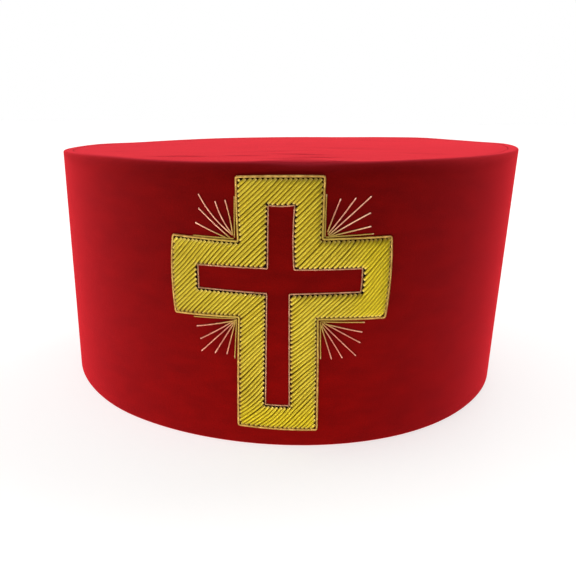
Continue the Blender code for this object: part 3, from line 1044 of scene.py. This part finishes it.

# Rays: seven single cords in each inner corner of the cross, the first along the upright, the last along the
# arm. Each ray: run and height of its start and of its end, how far it bows away from the upright (mm), how
# much thicker its knotted end is than the cord, and how bright it is drawn, from 0 to 1, partly as painted
# shade.
fans = {
    "upper_left": (
        (-13.95, 68.6, -14.0, 80.9, 0.0, 0.2, 0.3), (-14.4, 69.3, -16.9, 79.8, -0.2, 0.3, 0.25),
        (-14.4, 69.3, -19.95, 79.3, 0.6, 0.3, 0.4), (-14.5, 69.3, -25.35, 81.35, 0.9, 0.3, 0.5),
        (-15.3, 68.4, -25.35, 77.1, 0.15, 0.3, 0.5), (-16.4, 68.4, -26.45, 72.6, 0.1, 0.3, 0.6),
        (-14.2, 68.2, -27.2, 68.6, 0.0, 0.0, 0.6),
    ),
    "upper_right": (
        (13.05, 68.9, 12.97, 81.5, 0.0, 0.4, 0.2), (13.75, 70.4, 17.3, 80.1, -0.05, 0.9, 0.1),
        (13.9, 69.7, 21.9, 80.2, 0.1, 0.8, 0.3), (14.1, 69.4, 26.7, 80.5, 0.0, 0.6, 0.45),
        (14.5, 69.1, 26.75, 75.6, -0.2, 0.6, 0.9), (14.8, 69.1, 27.15, 71.55, 0.0, 0.6, 1.0),
        (13.4, 68.85, 28.2, 69.25, 0.0, 0.3, 0.9),
    ),
    "lower_left": (
        (-13.2, 42.8, -13.75, 29.6, 0.0, 0.1, 0.0), (-13.6, 41.8, -16.35, 30.7, 0.0, 0.3, 0.05),
        (-13.4, 42.4, -20.3, 30.7, 0.0, 0.3, 0.05), (-13.1, 42.7, -25.0, 30.8, 0.0, 0.4, 0.1),
        (-13.6, 42.5, -25.3, 35.0, -0.2, 0.3, 0.1), (-14.3, 42.1, -26.5, 39.2, -0.15, 0.4, 0.15),
        (-13.4, 42.85, -27.4, 42.3, 0.0, 0.0, 0.0),
    ),
    "lower_right": (
        (12.75, 42.4, 13.3, 30.1, 0.0, 0.3, 0.2), (12.9, 41.5, 16.8, 30.0, 0.0, 0.3, 0.05),
        (13.2, 41.3, 20.3, 30.1, 0.1, 0.4, 0.0), (13.2, 42.0, 24.75, 30.55, -0.05, 0.3, 0.0),
        (13.8, 42.0, 26.0, 34.8, 0.0, 0.5, 0.1), (14.3, 41.7, 26.45, 38.3, -0.1, 0.5, 0.3),
        (12.9, 42.4, 27.1, 41.45, 0.0, 0.3, 0.7),
    ),
}
rayStuff = giltWire("gilt cord, single ray", rayCord)


def makeFan(name, rows):
    lines, tones, knots, aged = [], [], [], []
    for i, (fromRun, fromHeight, toRun, toHeight, bow, knot, tone) in enumerate(rows):
        knots.append(knot)
        tones.append(tone)
        start = np.array((fromRun, fromHeight)) * mm
        way = np.array((toRun, toHeight)) * mm - start
        length = np.linalg.norm(way)
        side = np.array((abs(way[1]) * np.sign(start[0]), -abs(way[0]) * np.sign(way[1]))) / length
        share = np.linspace(0, 1, rayCord["points"])[:, None]
        line = start + way * share + side * bow * mm * 4 * share * (1 - share)
        crossing = rayCord["crossRise"] * (i % 2) * np.exp(-share[:, 0] * length / rayCord["crossReach"])
        lines.append(onWall(line[:, 0], line[:, 1], rayCord["thick"] / 2 + crossing))
        # painted shade: darker olive where the ray starts beside the edging
        away = np.abs(lineDistance(line, outerLine)) / rayCord["agedReach"]
        aged.append(smooth(rayCord["agedStart"] - away))
    sizes = cordSizes(rayCord)
    return cordMesh("fan_" + name, lines, rayStuff, sizes, tone=tones, knot=knots, aged=aged)


for name, rows in fans.items():
    hand(makeFan(name, rows), "ray_cord", "rays_" + name)

# Studio: a lit white table in a white room. The room is brightest on the left and behind, a broad lamp stands
# high behind the right side, and a low white card under the camera lifts the foot of the wall a little.
studio = {
    "floor": ("b4b3b1", "bbbab8"),
    "floorGrain": 3 * mm,
    "floorGlow": 0.64,
    "floorSize": 12.0,
    "backdrop": 1.0,  # how bright the room looks to the camera
    "panelFocus": 4.0,
    "panels": {  # which way each bright side of the room lies, and how bright it is
        "left": ((-1, 0, 0.05), 3.35),
        "behind": ((0, 1, 0.05), 3.45),
        "front": ((0, -1, 0.05), 1.05),
    },
    "lamp": {"place": (0.7, 0.9, 1.3), "aim": (0, 0, 0.05), "size": (1.0, 1.0), "power": 10.0},
    "lowCard": {"place": (0, -0.22, 0.006), "aim": (0, 0.5, 0.01), "size": (0.5, 0.02), "power": 0.42},
}


def makeFloor():
    half = studio["floorSize"] / 2
    points = [(-half, -half, 0), (half, -half, 0), (half, half, 0), (-half, half, 0)]
    made, tree = newMaterial(
        "white lit table",
        Roughness=0.9,
        Specular_IOR_Level=0.1,
        Emission_Color=(1, 1, 1, 1),
        Emission_Strength=studio["floorGlow"],
    )
    place = addNode(tree, "ShaderNodeTexCoord").outputs["Object"]
    grain = addNode(tree, "ShaderNodeTexNoise", {"Vector": place, "Scale": 1 / studio["floorGrain"]})
    dark, light = map(linear, studio["floor"])
    whites = {"Factor": grain.outputs["Fac"], "A": dark, "B": light}
    tone = addNode(tree, "ShaderNodeMix", whites, data_type="RGBA").outputs["Result"]
    floor = meshObject("floor", points, [(0, 1, 2, 3)], [surfaced(made, tone)])


def makeLights():
    for name in ("lamp", "lowCard"):
        row = studio[name]
        data = bpy.data.lights.new(name, "AREA")
        data.shape, data.energy = "RECTANGLE", row["power"]
        data.size, data.size_y = row["size"]
        light = placed(name, data)
        light.location = row["place"]
        light.visible_camera = False
        aim = Vector(row["aim"]) - Vector(row["place"])
        light.rotation_euler = aim.to_track_quat("-Z", "Y").to_euler()
    world = bpy.data.worlds.new("studio")
    world.use_nodes = True
    tree = world.node_tree
    direction = addNode(tree, "ShaderNodeTexCoord").outputs["Generated"]
    total = 0.0
    focus = studio["panelFocus"]
    for towards, bright in studio["panels"].values():
        pair = {0: direction, 1: Vector(towards).normalized()}
        facing = addNode(tree, "ShaderNodeVectorMath", pair, operation="DOT_PRODUCT").outputs["Value"]
        spread = {0: facing, 1: focus, 2: -focus}
        falling = addNode(tree, "ShaderNodeMath", spread, operation="MULTIPLY_ADD").outputs[0]
        lobe = addNode(tree, "ShaderNodeMath", {0: falling}, operation="EXPONENT").outputs[0]
        added = {0: lobe, 1: bright, 2: total}
        total = addNode(tree, "ShaderNodeMath", added, operation="MULTIPLY_ADD").outputs[0]
    seen = addNode(tree, "ShaderNodeLightPath").outputs["Is Camera Ray"]
    strength = addNode(tree, "ShaderNodeMix", {"Factor": seen, "A": total, "B": studio["backdrop"]})
    background = tree.nodes["Background"]
    background.inputs["Color"].default_value = (1, 1, 1, 1)
    tree.links.new(strength.outputs["Result"], background.inputs["Strength"])
    bpy.context.scene.world = world


makeFloor()
makeLights()
print("studio lit")
